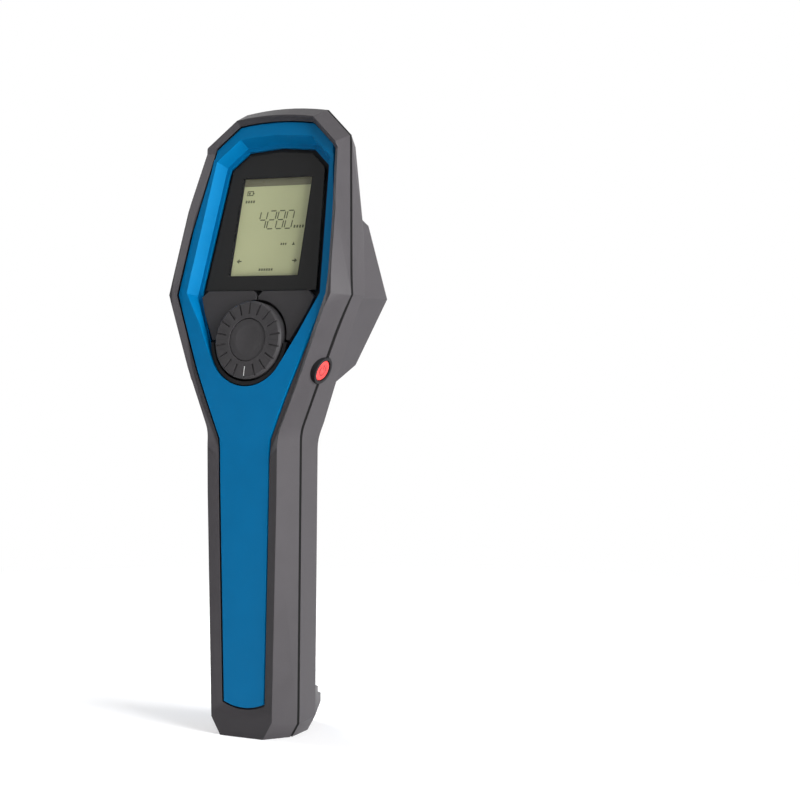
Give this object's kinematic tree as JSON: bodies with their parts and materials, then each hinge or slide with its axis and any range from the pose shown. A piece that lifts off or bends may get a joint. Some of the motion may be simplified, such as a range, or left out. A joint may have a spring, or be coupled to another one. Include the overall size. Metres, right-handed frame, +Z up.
{
  "type": "handheld stroboscope",
  "caption": "Handheld stroboscope: leaning head with display, jog dial and keys in front, hexagonal lamp hood behind, slim handle with a screwed battery cover.",
  "frame": {"origin": "mouth of the tripod socket, in the middle of the flat base", "axes": "+Z up the handle, display and dial face -Y, lamp faces +Y, power button on +X"},
  "size_m": [0.0776, 0.0498, 0.2263],
  "materials": {
    "housing": "fine matt texture",
    "blue": "satin lacquer on moulded plastic",
    "black": "satin",
    "seal": "soft",
    "lens": "clear",
    "display": "smoked border, clear centre",
    "lcd": "reflective grey green",
    "guide": "frosted",
    "mask": "satin",
    "board": "solder mask",
    "core_board": "white mask",
    "heat_sink": "bare",
    "emitter": "phosphor",
    "badge": "satin",
    "label": "silvered film",
    "red": "gloss",
    "nickel": "nickel plated",
    "zinc": "zinc plated",
    "brass": "turned",
    "cell": "printed sleeve"
  },
  "bodies": {
    "housing": {"front_shell": "housing", "rear_shell": "housing", "lamp_hood": "housing", "front_trim": "blue", "rear_trim": "blue", "control_panel": "black", "power_collar": "black", "power_switch": "black", "battery_tray": "black", "tact_switches": "black", "encoder_sensor": "black", "capacitors": "black", "choke": "black", "parting_seal": "seal", "window_seal": "seal", "side_plug": "seal", "zebra_strip": "seal", "lamp_window": "lens", "collimator_lenses": "lens", "display_window": "display", "lcd_glass": "lcd", "light_guide": "guide", "lamp_mask": "mask", "display_board": "board", "control_board": "board", "driver_board": "board", "lamp_board": "core_board", "heat_sink": "heat_sink", "led_emitters": "emitter", "badge_plate": "badge", "contact_springs": "nickel", "contact_plates": "nickel", "case_screws": "zinc", "screw_insert": "brass", "tripod_insert": "brass", "battery_cells": "cell"},
    "jog_dial": {"jog_ring": "black", "jog_hub": "black", "code_wheel": "black"},
    "dial_cap": {"centre_button": "black"},
    "left_key": {"key_left": "black"},
    "right_key": {"key_right": "black"},
    "power_key": {"power_button": "red"},
    "cover": {"battery_cover": "blue", "label_plate": "label", "cell_pad": "seal"},
    "cover_screw": {"battery_screw": "nickel", "screw_retainer": "black"}
  },
  "joints": [
    {"name": "dial_turn", "type": "hinge", "parent": "housing", "child": "jog_dial", "pos_m": [0, -0.018, 0.1417], "axis": [0, 0.9877, -0.1564], "continuous": true},
    {"name": "centre_press", "type": "slide", "parent": "housing", "child": "dial_cap", "axis": [0, 0.9877, -0.1564], "range_m": [0, 0.0008], "stiffness_N_per_m": 400, "springref_m": -0.0004},
    {"name": "left_key_press", "type": "slide", "parent": "housing", "child": "left_key", "axis": [0, 0.9659, -0.2588], "range_m": [0, 0.0005], "stiffness_N_per_m": 500, "springref_m": -0.0004},
    {"name": "right_key_press", "type": "slide", "parent": "housing", "child": "right_key", "axis": [0, 0.9659, -0.2588], "range_m": [0, 0.0005], "stiffness_N_per_m": 500, "springref_m": -0.0004},
    {"name": "power_press", "type": "slide", "parent": "housing", "child": "power_key", "axis": [-0.9231, 0, 0.3845], "range_m": [0, 0.001], "stiffness_N_per_m": 400, "springref_m": -0.0004},
    {"name": "cover_lift", "type": "slide", "parent": "housing", "child": "cover", "axis": [0, 1, 0], "range_m": [0, 0.03]},
    {"name": "cover_screw_turn", "type": "hinge", "parent": "cover", "child": "cover_screw", "pos_m": [0, 0.013, 0.02], "axis": [0, 1, 0], "continuous": true}
  ]
}
